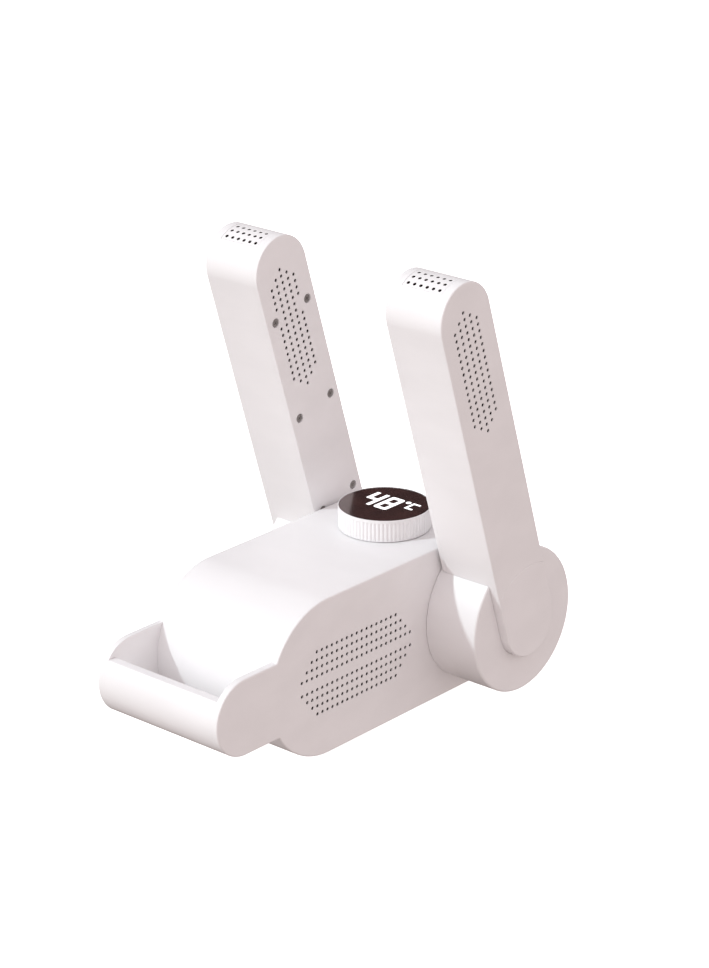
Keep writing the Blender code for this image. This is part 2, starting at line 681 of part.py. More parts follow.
def arm_screws(side_name, side, axis):
    profile = screw_profile(0.0026, ARM_IN + 0.0004, ARM_IN + 0.0013, ARM_IN + 0.012)
    for number, (across, up) in enumerate(WELLS, 1):
        screw = turned(f"{side_name}_arm_screw_{number}", profile, "steel", axis, 10, False)
        lay_on_x(screw, side, (across, up))


def tip_vent(side_name, side, axis):
    """The curved insert in the round tip, with a slot for each row of holes."""
    start, end = TIP_WINDOW[0] + 0.8, TIP_WINDOW[1] - 0.8
    half = TIP_HALF_WIDTH - GAP
    low, high = mirror_x(ARM_MIDDLE - half, ARM_MIDDLE + half, side)
    outline = tip_sector(ARM_RADIUS - WALL, ARM_RADIUS, start, end)
    vent = plate(side_name + "_tip_vent", [outline], low, high, "white_plastic", parent=axis)
    low, high = mirror_x(ARM_MIDDLE - 0.013, ARM_MIDDLE + 0.013, side)
    half_slot = math.degrees(SLOT / 2 / ARM_RADIUS)
    for number, row in enumerate(TIP_ROWS):
        slot = tip_sector(ARM_RADIUS - 0.006, ARM_RADIUS + 0.004, row - half_slot, row + half_slot)
        use(vent, plate(f"{side_name}_tip_slot_{number}", [slot], low, high, parent=axis))


def arm(side_name, side):
    axis = empty(side_name + "_arm_axis", (0, HINGE_Y, HINGE_Z), LEAN)
    barrel(side_name, side, axis)
    arm_shell(side_name, side, axis)
    inner_cover(side_name, side, axis)
    tip_vent(side_name, side, axis)
    arm_screws(side_name, side, axis)
    low, high = mirror_x(ARM_OUT - WALL, ARM_OUT, side)
    plate(side_name + "_hinge_cap", [cap_outline()], low, high, "white_plastic", parent=axis)
    low, high = BARREL_WEB + GAP, BARREL_WEB + 0.0013
    inner, outer = SLEEVE_RADIUS + GAP, 0.024
    profile = [(outer, high), (outer, low), (inner, low), (inner, high)]
    lay_on_x(turned(side_name + "_friction_washer", profile, "acetal", axis), side)


# ---------------------------------------------------------------- assembly

clear_scene()
PARTS = new_collection("boot_dryer")
CUTTERS = new_collection("cutters")
main_housing()
handle_bar()
base_plate()
feet_and_base_screws()
cord_gland()
fan_housing()
fan_impeller()
fan_motor()
heater()
air_manifold()
control_board()
dial()
for SIDE_NAME, SIDE in (("right", 1), ("left", -1)):
    side_panel(SIDE_NAME + "_side_panel", SIDE)
    hinge(SIDE_NAME, SIDE)
    arm(SIDE_NAME, SIDE)
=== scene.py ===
"""The looks of the boot dryer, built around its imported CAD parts.

Every size comes from the parts themselves. The white shells are rebuilt with fine curves, soft edges and
round air holes. The fan, heater and other inner parts keep their CAD shape and get a material.
A drawing is made of (first, second) points, and a placing matrix turns it and its depth into the row's frame.
"""

import json
import math

import bmesh
import bpy
from mathutils import Matrix, Vector


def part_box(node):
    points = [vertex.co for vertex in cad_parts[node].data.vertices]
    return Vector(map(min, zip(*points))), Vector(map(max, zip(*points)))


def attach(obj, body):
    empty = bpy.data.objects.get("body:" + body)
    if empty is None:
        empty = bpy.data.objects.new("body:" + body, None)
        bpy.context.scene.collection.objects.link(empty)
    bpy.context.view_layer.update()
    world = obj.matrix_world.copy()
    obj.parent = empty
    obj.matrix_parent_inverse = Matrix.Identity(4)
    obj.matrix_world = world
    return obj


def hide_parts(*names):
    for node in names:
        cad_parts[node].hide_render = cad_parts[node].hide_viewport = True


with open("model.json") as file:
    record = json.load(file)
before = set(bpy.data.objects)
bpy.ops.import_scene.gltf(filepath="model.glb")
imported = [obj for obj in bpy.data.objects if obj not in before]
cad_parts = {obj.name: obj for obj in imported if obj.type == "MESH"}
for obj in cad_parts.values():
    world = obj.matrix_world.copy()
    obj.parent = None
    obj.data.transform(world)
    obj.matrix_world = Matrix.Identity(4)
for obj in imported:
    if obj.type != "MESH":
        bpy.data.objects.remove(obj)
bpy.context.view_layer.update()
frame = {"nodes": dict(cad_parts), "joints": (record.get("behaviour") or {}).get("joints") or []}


# ---------------------------------------------------------------- sizes, from the CAD parts


def reach(node, along, centre):
    """The distance from an axis to a node's farthest point, which is the radius of a turned part."""
    others = [axis for axis in range(3) if axis != along]
    points = frame["nodes"][node].data.vertices
    return max(math.hypot(*(point.co[axis] - centre[axis] for axis in others)) for point in points)


def joint(name):
    return next(found for found in frame["joints"] if found["name"] == name)


# Fits and finish
SEAM = 0.00005
FIT = 0.0003
EDGE = 0.0010
ARC_STEPS = 64
TURN_STEPS = 128
AXIS = 0.0001
SHARP_ANGLE = math.radians(32)

# Body
HOUSING_LOW, HOUSING_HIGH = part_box("main_housing")
PANEL_LOW, PANEL_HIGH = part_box("right_side_panel")
BAR_LOW, BAR_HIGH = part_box("handle_bar")
PLATE_LOW, PLATE_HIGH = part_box("base_plate")
FLOOR_GAP = HOUSING_LOW.z
BODY_TOP = HOUSING_HIGH.z
BODY_RADIUS = (BODY_TOP - FLOOR_GAP) / 2
BODY_Z = FLOOR_GAP + BODY_RADIUS
FRONT_Y = HOUSING_LOW.y + BODY_RADIUS
REAR_Y = HOUSING_HIGH.y - BODY_RADIUS
HALF_WIDTH = PANEL_HIGH.x
CHEEK_IN = PANEL_LOW.x
PANEL_IN = HOUSING_HIGH.x + FIT
WALL = HALF_WIDTH - PANEL_IN
HALF_RIB = 0.001

# Handle
NOSE_Y = BAR_HIGH.y
NOSE_RADIUS = NOSE_Y - PANEL_LOW.y
NOSE_Z = BAR_LOW.z + NOSE_RADIUS
BAR_TOP = BAR_HIGH.z
BAR_WALL = 0.005

# Hinges, barrels and arms
HINGE = Vector(joint("right_arm_fold")["pos_m"])
LEAN = math.radians(-joint("right_arm_fold")["range_deg"][0])
BARREL_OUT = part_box("right_barrel")[1].x
BARREL_RADIUS = reach("right_barrel", 0, HINGE)
SLEEVE_RADIUS = 0.018
SHELL_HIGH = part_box("right_arm_shell")[1]
COVER_LOW, COVER_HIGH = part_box("right_inner_cover")
CAP_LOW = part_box("right_hinge_cap")[0]
CAP_REACH = reach("right_hinge_cap", 0, HINGE)
ARM_RADIUS = HINGE.z - CAP_LOW.z
ARM_IN, ARM_OUT = COVER_LOW.x, SHELL_HIGH.x
COVER_OUT = COVER_HIGH.x
ARM_MIDDLE = (ARM_IN + ARM_OUT) / 2
ARM_SPAN = (SHELL_HIGH.z - HINGE.z - ARM_RADIUS) / math.cos(LEAN)
CAP_THICKNESS = ARM_OUT - CAP_LOW.x

# Air holes
HOLE = 0.0011
HOLE_SIDES = 16
GRILLE_Y = REAR_Y - 0.1113
GRILLE_Z = FLOOR_GAP + 0.0492
GRILLE_PITCH = 0.00448
GRILLE_ROW_PITCH = 0.0053
GRILLE_HALF_SPLIT = 0.0044
GRILLE_COUNTS = (23, 21, 19, 17)
ARM_PITCH = 0.0046
ARM_COLUMN_PITCH = 0.0051
ARM_COUNTS = (15, 17, 19, 17, 15)
SPLIT_HOLES = (4, 5)
OUTER_GRILLE_UP = 0.1864
INNER_GRILLE_UP = 0.1829
ARM_GRILLE_ACROSS = -0.0013
TIP_ROWS = (-17.0, -3.5, 10.0)
TIP_HOLES = 6
TIP_PITCH = 0.00475
TIP_WINDOW = (-24.0, 18.0)
TIP_HALF_WIDTH = 0.015

# Screw wells in the arms' inner sides: two at each height
WELLS = [(across, up) for up in (0.0525, 0.1235, 0.194) for across in (-0.0151, 0.0151)]
WELL_RADIUS = 0.0030
WELL_DEPTH = 0.0016
SCREW_HOLE = 0.0017

# Dial
DIAL = Vector(joint("dial_turn")["pos_m"])
RING_LOW, RING_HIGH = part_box("dial_ring")
LENS_LOW, LENS_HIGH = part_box("display_lens")
DIAL_RADIUS = reach("dial_ring", 2, DIAL)
LENS_RADIUS = DIAL_RADIUS - 0.0005
SEAT_RADIUS = 0.025
DIAL_NECK = 0.022
DIAL_RIBS = 72

# Cord outlet
GLAND_LOW, GLAND_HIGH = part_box("cord_gland")
GLAND_Z = (GLAND_LOW.z + GLAND_HIGH.z) / 2
GLAND_RADIUS = (GLAND_HIGH.z - GLAND_LOW.z) / 2
GLAND_NECK = 0.005
GLAND_BORE = 0.0036


# ---------------------------------------------------------------- placing


def on_side(side):
    """A drawing of (y, z) points, with its depth outwards along X on one side."""
    return Matrix(((0, 0, side, 0), (1, 0, 0, 0), (0, 1, 0, 0), (0, 0, 0, 1)))


def on_arm(side):
    """A drawing of (across, up) points on an arm, which leans forward from its hinge."""
    return Matrix.Translation(HINGE) @ Matrix.Rotation(LEAN, 4, "X") @ on_side(side)


def upright(x=0.0, y=0.0, z=0.0):
    """A drawing of (x, y) points, with its depth upwards."""
    return Matrix.Translation((x, y, z))


def rearwards(z):
    """A drawing whose depth runs to the rear."""
    return Matrix.Translation((0, 0, z)) @ Matrix.Rotation(-math.pi / 2, 4, "X")


# ---------------------------------------------------------------- outlines


def arc(centre, radius, start, end, steps=ARC_STEPS):
    """Points of an arc from start to end degrees, counted from the first axis towards the second."""
    points = []
    for step in range(steps + 1):
        angle = math.radians(start + (end - start) * step / steps)
        points.append(Vector((centre[0] + radius * math.cos(angle), centre[1] + radius * math.sin(angle))))
    return points


def circle(centre, radius, steps=ARC_STEPS):
    return arc(centre, radius, 0, 360, steps)[:-1]


def rectangle(low, high):
    return [Vector(corner) for corner in (low, (high[0], low[1]), high, (low[0], high[1]))]


def slot_outline(low, high):
    """A slot along the first axis with round ends."""
    radius = (high[1] - low[1]) / 2
    middle = (low[1] + high[1]) / 2
    left = arc((low[0] + radius, middle), radius, 90, 270, 8)
    return left + arc((high[0] - radius, middle), radius, -90, 90, 8)


def stadium(radius, top):
    """An upright outline with two round ends, the lower one on the hinge."""
    return arc((0, top), radius, 0, 180) + arc((0, 0), radius, 180, 360)


def soft_corners(outline, radius, steps=6):
    """The outline with each sharp corner rounded."""
    count = len(outline)
    cut_back = {}
    for index, point in enumerate(outline):
        before = (outline[index - 1] - point).normalized()
        after = (outline[(index + 1) % count] - point).normalized()
        turn = math.pi - before.angle(after)
        if turn > math.radians(30):
            cut_back[index] = (radius * math.tan(turn / 2), before, after)
    made = []
    for index, point in enumerate(outline):
        if index in cut_back:
            length, before, after = cut_back[index]
            start, end = point + before * length, point + after * length
            for step in range(steps + 1):
                share = step / steps
                made.append(start * (1 - share) ** 2 + point * 2 * share * (1 - share) + end * share ** 2)
        elif all((point - outline[corner]).length > 1.05 * cut_back[corner][0] for corner in cut_back):
            made.append(point)
    return made


def inset(outline, amount):
    """The outline moved inwards by one amount all round."""
    count = len(outline)
    area = sum(outline[i - 1].cross(outline[i]) for i in range(count))
    inwards = 1 if area > 0 else -1
    moved = []
    for index, point in enumerate(outline):
        before = (point - outline[index - 1]).normalized()
        after = (outline[(index + 1) % count] - point).normalized()
        bisector = (before.orthogonal() + after.orthogonal()).normalized()
        moved.append(point + bisector * (inwards * amount / bisector.dot(after.orthogonal())))
    return moved


def quarter(radius, steps=5):
    """(inset, depth) steps of a rounded edge, from the side wall to the face."""
    angles = [math.pi / 2 * step / steps for step in range(steps + 1)]
    return [(radius * (1 - math.cos(angle)), radius * (1 - math.sin(angle))) for angle in angles]


def rounded_profile(low, high, low_edge, high_edge):
    """(inset, depth) steps from the low face, up the side and on to the high face."""
    profile = [(0, low)]
    if low_edge:
        profile = [(inward, low + deep) for inward, deep in reversed(quarter(low_edge))]
        profile.append((0, low + 1.5 * low_edge))
    if high_edge:
        profile.append((0, high - 1.5 * high_edge))
        profile += [(inward, high - deep) for inward, deep in quarter(high_edge)]
    else:
        profile.append((0, high))
    return profile


# ---------------------------------------------------------------- meshes


def new_piece(name, mesh):
    piece = bpy.data.objects.new(name, mesh)
    bpy.context.scene.collection.objects.link(piece)
    return piece


def mesh_of(name, shape, placing):
    """Closes a bmesh off as a mesh in the row's frame, with its faces pointing out."""
    bmesh.ops.remove_doubles(shape, verts=shape.verts, dist=1e-7)
    bmesh.ops.transform(shape, matrix=placing, verts=shape.verts)
    bmesh.ops.recalc_face_normals(shape, faces=shape.faces)
    mesh = bpy.data.meshes.new(name)
    shape.to_mesh(mesh)
    shape.free()
    return mesh


def skin(shape, rings, closed=False, bands=()):
    """Joins rings of points with faces. Unless closed, the first and last rings are filled in.
    bands gives the material of each band of faces."""
    rows = [[shape.verts.new(point) for point in ring] for ring in rings]
    count = len(rows[0])
    pairs = list(zip(rows, rows[1:]))
    if closed:
        pairs.append((rows[-1], rows[0]))
    for number, (lower, upper) in enumerate(pairs):
        for i in range(count):
            j = (i + 1) % count
            face = shape.faces.new((lower[i], lower[j], upper[j], upper[i]))
            face.material_index = bands[number] if bands else 0
    if not closed:
        for row, band in ((rows[0], 0), (rows[-1], -1)):
            shape.faces.new(row).material_index = bands[band] if bands else 0


def loft(name, outline, profile, placing):
    """A plate or tray: an outline carried through (inset, depth) steps."""
    shape = bmesh.new()
    rings = []
    for inward, deep in profile:
        ring = inset(outline, inward) if inward else outline
        rings.append([(point[0], point[1], deep) for point in ring])
    skin(shape, rings)
    return new_piece(name, mesh_of(name, shape, placing))


def block(name, outline, low, high, placing):
    return loft(name, outline, [(0, low), (0, high)], placing)


def turned(name, profile, placing, closed=True, steps=TURN_STEPS, ribs=None):
    """A profile of (radius, depth) points turned about the depth axis.
    ribs gives how much is taken off the radius, by angle, radius and depth."""
    shape = bmesh.new()
    rings = []
    for radius, deep in profile:
        ring = []
        for step in range(steps):
            angle = 2 * math.pi * step / steps
            out = radius - (ribs(angle, radius, deep) if ribs else 0)
            ring.append((out * math.cos(angle), out * math.sin(angle), deep))
        rings.append(ring)
    skin(shape, rings, closed)
    return new_piece(name, mesh_of(name, shape, placing))


def flat_art(name, outlines, low, high, placing):
    """Thin shapes drawn by outlines, where an outline inside another is a hole."""
    curve = bpy.data.curves.new(name, "CURVE")
    curve.dimensions = "2D"
    curve.fill_mode = "BOTH"
    curve.extrude = (high - low) / 2
    for outline in outlines:
        spline = curve.splines.new("POLY")
        spline.points.add(len(outline) - 1)
        for point, place in zip(spline.points, outline):
            point.co = (place[0], place[1], 0, 1)
        spline.use_cyclic_u = True
    drawn = new_piece(name + "_drawing", curve)
    mesh = bpy.data.meshes.new_from_object(drawn.evaluated_get(bpy.context.evaluated_depsgraph_get()))
    bpy.data.objects.remove(drawn)
    bpy.data.curves.remove(curve)
    mesh.name = name
    mesh.transform(placing @ Matrix.Translation((0, 0, (low + high) / 2)))
    return new_piece(name, mesh)


def combine(piece, tool, operation="DIFFERENCE"):
    """Applies a Boolean for good and removes its tool."""
    change = piece.modifiers.new("Change", "BOOLEAN")
    change.operation = operation
    change.solver = "EXACT"
    change.object = tool
    evaluated = piece.evaluated_get(bpy.context.evaluated_depsgraph_get())
    mesh = bpy.data.meshes.new_from_object(evaluated)
    piece.modifiers.clear()
    piece.data = mesh
    bpy.data.objects.remove(tool)


def drill(piece, places, white=0.0007):
    """Cuts an air hole at each place, whose depth axis points out of the surface. Its rim is slightly broken,
    and its wall turns to the piece's second material below the depth given by white."""
    shape = bmesh.new()
    chamfer = 0.00014
    steps = [(1.16, FIT), (1.12, 0), (1.0, -chamfer), (1.0, -white), (1.0, -2 * WALL)]
    for place in places:
        rings = []
        for share, deep in steps:
            lift = place.to_3x3() @ Vector((0, 0, deep))
            ring = circle((0, 0), HOLE * share, HOLE_SIDES)
            rings.append([place @ point.to_3d() + lift for point in ring])
        # the last band, below the depth given by white, takes the second material: painted shade for the
        # inside of the hole
        skin(shape, rings, bands=(0, 0, 0, 1))
    while len(piece.data.materials) < 2:
        piece.data.materials.append(None)
    combine(piece, new_piece("drill", mesh_of("drill", shape, Matrix.Identity(4))))


def finish_piece(piece, body, slot, *nodes, inner=None):
    """Gives the piece its material and clean shading, ties it to its body and hides the CAD nodes it stands
    for.
    inner names the second material, the painted shade on the deeper walls of its air holes."""
    mesh = piece.data
    bands = [face.material_index if inner else 0 for face in mesh.polygons]
    mesh.materials.clear()
    for name in (slot, inner) if inner else (slot,):
        mesh.materials.append(MATERIALS[name])
    mesh.polygons.foreach_set("material_index", bands)
    shape = bmesh.new()
    shape.from_mesh(mesh)
    for face in shape.faces:
        face.smooth = True
    for edge in shape.edges:
        edge.smooth = len(edge.link_faces) == 2 and edge.calc_face_angle(0) < SHARP_ANGLE
    shape.to_mesh(mesh)
    shape.free()
    normals = piece.modifiers.new("Normals", "WEIGHTED_NORMAL")
    normals.keep_sharp = True
    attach(piece, body)
    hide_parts(*nodes)
    return piece


# ---------------------------------------------------------------- materials


def new_shader(name, colour, roughness, metallic=0.0):
    made = bpy.data.materials.new(name)
    made.use_nodes = True
    shader = made.node_tree.nodes["Principled BSDF"]
    shader.inputs["Base Color"].default_value = (*colour, 1)
    shader.inputs["Roughness"].default_value = roughness
    shader.inputs["Metallic"].default_value = metallic
    return made, shader


def noise(tree, size, detail=2.0, stretch=(1, 1, 1)):
    """A noise whose features are about the given size in metres, fixed to the piece."""
    place = tree.nodes.new("ShaderNodeTexCoord")
    scaled = tree.nodes.new("ShaderNodeMapping")
    scaled.inputs["Scale"].default_value = [share / size for share in stretch]
    pattern = tree.nodes.new("ShaderNodeTexNoise")
    pattern.inputs["Scale"].default_value = 1.0
    pattern.inputs["Detail"].default_value = detail
    tree.links.new(place.outputs["Object"], scaled.inputs["Vector"])
    tree.links.new(scaled.outputs["Vector"], pattern.inputs["Vector"])
    return pattern.outputs["Fac"]


def vary_colour(made, shader, source, low, high):
    """Mixes the base colour between two tones by a pattern."""
    tree = made.node_tree
    ramp = tree.nodes.new("ShaderNodeValToRGB")
    ramp.color_ramp.elements[0].position = 0.35
    ramp.color_ramp.elements[1].position = 0.65
    ramp.color_ramp.elements[0].color = (*low, 1)
    ramp.color_ramp.elements[1].color = (*high, 1)
    tree.links.new(source, ramp.inputs["Fac"])
    tree.links.new(ramp.outputs["Color"], shader.inputs["Base Color"])


def vary_roughness(made, shader, source, low, high):
    tree = made.node_tree
    mapped = tree.nodes.new("ShaderNodeMapRange")
    mapped.inputs["From Min"].default_value = 0.3
    mapped.inputs["From Max"].default_value = 0.7
    mapped.inputs["To Min"].default_value = low
    mapped.inputs["To Max"].default_value = high
    tree.links.new(source, mapped.inputs["Value"])
    tree.links.new(mapped.outputs["Result"], shader.inputs["Roughness"])


def add_bump(made, shader, layers):
    """Layers are (height pattern, depth in metres, strength), stacked on one another."""
    tree = made.node_tree
    last = None
    for source, distance, strength in layers:
        bump = tree.nodes.new("ShaderNodeBump")
        bump.inputs["Distance"].default_value = distance
        bump.inputs["Strength"].default_value = strength
        tree.links.new(source, bump.inputs["Height"])
        if last:
            tree.links.new(last, bump.inputs["Normal"])
        last = bump.outputs["Normal"]
    tree.links.new(last, shader.inputs["Normal"])


def moulded(name, colour, roughness, grain, grain_depth, flow=0.03, contrast=0.02):
    """Injection-moulded plastic or rubber: a fine spark-eroded skin, faint flow marks and uneven gloss."""
    made, shader = new_shader(name, colour, roughness)
    tree = made.node_tree
    marks = noise(tree, flow, 3.0, (0.6, 1.0, 1.6))
    darker = [value * (1 - contrast) for value in colour]
    lighter = [min(value * (1 + contrast / 2), 0.95) for value in colour]
    vary_colour(made, shader, marks, darker, lighter)
    vary_roughness(made, shader, noise(tree, flow / 3, 2.0), roughness - 0.04, roughness + 0.05)
    add_bump(made, shader, [(noise(tree, grain, 3.0), grain_depth, 0.35), (marks, grain_depth * 4, 0.05)])
    return made


def lens_glass(name):
    """Smoked acrylic: deep brown, glossy, with a trace of wiping marks."""
    made, shader = new_shader(name, (0.058, 0.031, 0.030), 0.16)
    shader.inputs["Coat Weight"].default_value = 0.6
    shader.inputs["Coat Roughness"].default_value = 0.10
    tree = made.node_tree
    vary_colour(made, shader, noise(tree, 0.012, 2.0), (0.050, 0.028, 0.027), (0.066, 0.034, 0.032))
    vary_roughness(made, shader, noise(tree, 0.006, 3.0, (0.4, 2.0, 1.0)), 0.12, 0.22)
    return made


def lit_digits(name):
    """Milky light guides over the display's LEDs, lit evenly and with a trace of grain."""
    made, shader = new_shader(name, (0.92, 0.92, 0.92), 0.5)
    tree = made.node_tree
    shader.inputs["Emission Color"].default_value = (1, 1, 1, 1)
    shader.inputs["Emission Strength"].default_value = 0.75
    vary_colour(made, shader, noise(tree, 0.002, 2.0), (0.88, 0.88, 0.88), (0.94, 0.94, 0.94))
    return made


def brushed(name, colour, roughness, stretch, grain=0.0004, metallic=1.0):
    """Metal with fine drawn lines along one direction and a little tarnish."""
    made, shader = new_shader(name, colour, roughness, metallic)
    tree = made.node_tree
    lines = noise(tree, grain, 2.0, stretch)
    darker = [value * 0.82 for value in colour]
    vary_colour(made, shader, noise(tree, 0.006, 3.0), darker, colour)
    vary_roughness(made, shader, lines, roughness - 0.08, roughness + 0.10)
    add_bump(made, shader, [(lines, 0.00003, 0.4)])
    return made


def board(name):
    """Solder mask over copper tracks, with the weave of the glass cloth faintly showing."""
    made, shader = new_shader(name, (0.02, 0.16, 0.07), 0.42)
    tree = made.node_tree
    place = tree.nodes.new("ShaderNodeTexCoord")
    tracks = tree.nodes.new("ShaderNodeTexBrick")
    tracks.inputs["Scale"].default_value = 160
    tracks.inputs["Mortar Size"].default_value = 0.03
    tracks.inputs["Color1"].default_value = (0.015, 0.13, 0.055, 1)
    tracks.inputs["Color2"].default_value = (0.018, 0.15, 0.065, 1)
    tracks.inputs["Mortar"].default_value = (0.05, 0.28, 0.12, 1)
    tree.links.new(place.outputs["Object"], tracks.inputs["Vector"])
    tree.links.new(tracks.outputs["Color"], shader.inputs["Base Color"])
    add_bump(made, shader, [(tracks.outputs["Fac"], 0.00004, 0.5), (noise(tree, 0.0006, 1.0), 0.00002, 0.3)])
    return made


WHITE = (0.83, 0.82, 0.83)
MATERIALS = {
    "housing_plastic": moulded("housing_plastic", WHITE, 0.44, 0.0005, 0.00002),
    "arm_plastic": moulded("arm_plastic", WHITE, 0.46, 0.0005, 0.00002),
    "dial_plastic": moulded("dial_plastic", WHITE, 0.38, 0.0004, 0.00001),
    "display_lens": lens_glass("display_lens"),
    "display_light": lit_digits("display_light"),
    # painted shade: this dark material on the deeper part of each air hole's wall stands in for the shade
    # inside the holes
    "painted_hole_shade": moulded("painted_hole_shade", (0.050, 0.040, 0.038), 0.70, 0.0005, 0.00002),
    "duct_plastic": moulded("duct_plastic", (0.045, 0.045, 0.048), 0.52, 0.0006, 0.00003),
    "heater_aluminium": brushed("heater_aluminium", (0.78, 0.78, 0.80), 0.36, (1, 12, 12)),
    "motor_steel": brushed("motor_steel", (0.55, 0.55, 0.56), 0.34, (1, 10, 10)),
    "screw_steel": brushed("screw_steel", (0.33, 0.31, 0.30), 0.45, (4, 4, 1), 0.0002, 0.25),
    "circuit_board": board("circuit_board"),
    "washer_acetal": moulded("washer_acetal", (0.74, 0.72, 0.66), 0.34, 0.0008, 0.00001),
    "foot_rubber": moulded("foot_rubber", (0.030, 0.030, 0.031), 0.82, 0.0003, 0.00005, 0.01, 0.15),
    "gland_rubber": moulded("gland_rubber", (0.60, 0.59, 0.59), 0.70, 0.0003, 0.00004, 0.01, 0.05),
}


# ---------------------------------------------------------------- body


def nose_meets(body_radius, nose_radius):
    """The angles on the body's front curve where the nose's flat top and bottom meet it."""
    top = math.degrees(math.asin((NOSE_Z + nose_radius - BODY_Z) / body_radius))
    bottom = math.degrees(math.asin((NOSE_Z - nose_radius - BODY_Z) / body_radius))
    return 180 - top, 180 - bottom


def body_outline():
    top, bottom = nose_meets(BODY_RADIUS, NOSE_RADIUS)
    outline = arc((REAR_Y, BODY_Z), BODY_RADIUS, -90, 90)
    outline += arc((FRONT_Y, BODY_Z), BODY_RADIUS, 90, top, ARC_STEPS // 2)
    outline += arc((NOSE_Y, NOSE_Z), NOSE_RADIUS, 90, 270)
    outline += arc((FRONT_Y, BODY_Z), BODY_RADIUS, bottom, 270, ARC_STEPS // 2)
    return outline


def cheek_outline():
    clear = BODY_RADIUS + SEAM
    top, bottom = nose_meets(clear, NOSE_RADIUS)
    nose = arc((NOSE_Y, NOSE_Z), NOSE_RADIUS, 90, 270)
    return nose + arc((FRONT_Y, BODY_Z), clear, bottom, top, ARC_STEPS // 2)


def grille_places(side):
    """Eight rows of holes in two groups, the longest rows in the middle."""
    places = []
    for row, count in enumerate(GRILLE_COUNTS):
        for half in (-1, 1):
            z = GRILLE_Z + half * (GRILLE_HALF_SPLIT + row * GRILLE_ROW_PITCH)
            for number in range(count):
                y = GRILLE_Y + (number - (count - 1) / 2) * GRILLE_PITCH
                places.append(on_side(side) @ Matrix.Translation((y, z, HALF_WIDTH)))
    return places


def side_panel(side_name, side):
    name = side_name + "_side_panel"
    profile = rounded_profile(PANEL_IN, HALF_WIDTH, 0, EDGE)
    panel = loft("shell_" + name, soft_corners(body_outline(), 0.0015), profile, on_side(side))
    cheek = block("cheek", cheek_outline(), CHEEK_IN, PANEL_IN + WALL / 2, on_side(side))
    combine(panel, cheek, "UNION")
    bore = block("bore", circle(HINGE.yz, SLEEVE_RADIUS), CHEEK_IN - 0.01, HALF_WIDTH + 0.01, on_side(side))
    combine(panel, bore)
    drill(panel, grille_places(side))
    finish_piece(panel, "base", "housing_plastic", name, inner="painted_hole_shade")


def main_housing():
    """The wrap over front, top and rear, with the lips that the base plate is screwed to."""
    inside = BODY_RADIUS - WALL
    lip_low = PLATE_LOW.z + WALL + SEAM
    lip_high = lip_low + WALL
    lip = 0.014
    lip_angle = math.degrees(math.asin((BODY_Z - lip_high) / inside))
    outline = arc((FRONT_Y, BODY_Z), BODY_RADIUS, 270, 90) + arc((REAR_Y, BODY_Z), BODY_RADIUS, 90, -90)
    rear, front = REAR_Y - lip, FRONT_Y + lip
    outline += [Vector(corner) for corner in ((REAR_Y, lip_low), (rear, lip_low), (rear, lip_high))]
    outline += arc((REAR_Y, BODY_Z), inside, -lip_angle, 90)
    outline += arc((FRONT_Y, BODY_Z), inside, 90, 180 + lip_angle)
    outline += [Vector(corner) for corner in ((front, lip_high), (front, lip_low), (FRONT_Y, lip_low))]
    half = PANEL_IN - SEAM
    wrap = block("shell_main_housing", outline, -half, half, on_side(1))
    neck = circle((0, 0), DIAL_NECK + FIT)
    combine(wrap, block("dial_hole", neck, -0.01, 0.01, upright(0, DIAL.y, BODY_TOP)))
    neck = circle((0, 0), GLAND_NECK + FIT)
    combine(wrap, block("gland_hole", neck, REAR_Y + 0.03, GLAND_HIGH.y + 0.01, rearwards(GLAND_Z)))
    for x, y in base_screw_places():
        hole = circle((0, 0), SCREW_HOLE, HOLE_SIDES)
        combine(wrap, block("lip_hole", hole, -0.001, 0.001 + 2 * WALL, upright(x, y, PLATE_LOW.z + WALL)))
    finish_piece(wrap, "base", "housing_plastic", "main_housing")


def handle_bar():
    inner = NOSE_RADIUS - BAR_WALL
    outer_start = 180 - math.degrees(math.asin((BAR_TOP - NOSE_Z) / NOSE_RADIUS))
    inner_start = 180 - math.degrees(math.asin((BAR_TOP - NOSE_Z) / inner))
    outline = arc((NOSE_Y, NOSE_Z), NOSE_RADIUS, outer_start, 270)
    outline += arc((NOSE_Y, NOSE_Z), inner, 270, inner_start)
    half = CHEEK_IN - SEAM
    bar = block("shell_handle_bar", soft_corners(outline, 0.0009), -half, half, on_side(1))
    finish_piece(bar, "base", "housing_plastic", "handle_bar")


def base_screw_places():
    return [(x, y) for y in (FRONT_Y + 0.008, REAR_Y - 0.008) for x in (-0.036, 0.036)]


def foot_places():
    return [(x, y) for y in (FRONT_Y + 0.022, REAR_Y - 0.022) for x in (-0.034, 0.034)]


def base_plate():
    """The flat bottom with round-ended air slots, a recess for each foot and a sunk hole for each screw."""
    low = PLATE_LOW.z
    edge = rectangle((PLATE_LOW.x, PLATE_LOW.y), (PLATE_HIGH.x, PLATE_HIGH.y))
    profile = rounded_profile(low, low + WALL, 0.0004, 0)
    plate = loft("shell_base_plate", edge, profile, upright())
    pitch, half_slot, slot_reach = 0.008, 0.0015, 0.024
    for step in range(-3, 4):
        y = GRILLE_Y + step * pitch
        outline = slot_outline((-slot_reach, y - half_slot), (slot_reach, y + half_slot))
        combine(plate, block("slot", outline, low - 0.01, low + 0.01, upright()))
    foot_radius, foot_recess = 0.0073, 0.0008
    for x, y in foot_places():
        recess = circle((0, 0), foot_radius)
        combine(plate, block("recess", recess, -0.01, foot_recess, upright(x, y, low)))
    head_radius, head_depth = 0.0033, 0.0013
    for x, y in base_screw_places():
        for radius, top in ((head_radius, head_depth), (SCREW_HOLE, 0.01)):
            combine(plate, block("hole", circle((0, 0), radius, 32), -0.01, top, upright(x, y, low)))
    for offset in (-0.004, 0.012):
        add_rib(plate, GRILLE_Y + offset, support_height(offset))
    heater_low, heater_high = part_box("heater_frame")
    add_rib(plate, (heater_low.y + heater_high.y) / 2, heater_low.z - FIT)
    finish_piece(plate, "base", "housing_plastic", "base_plate")


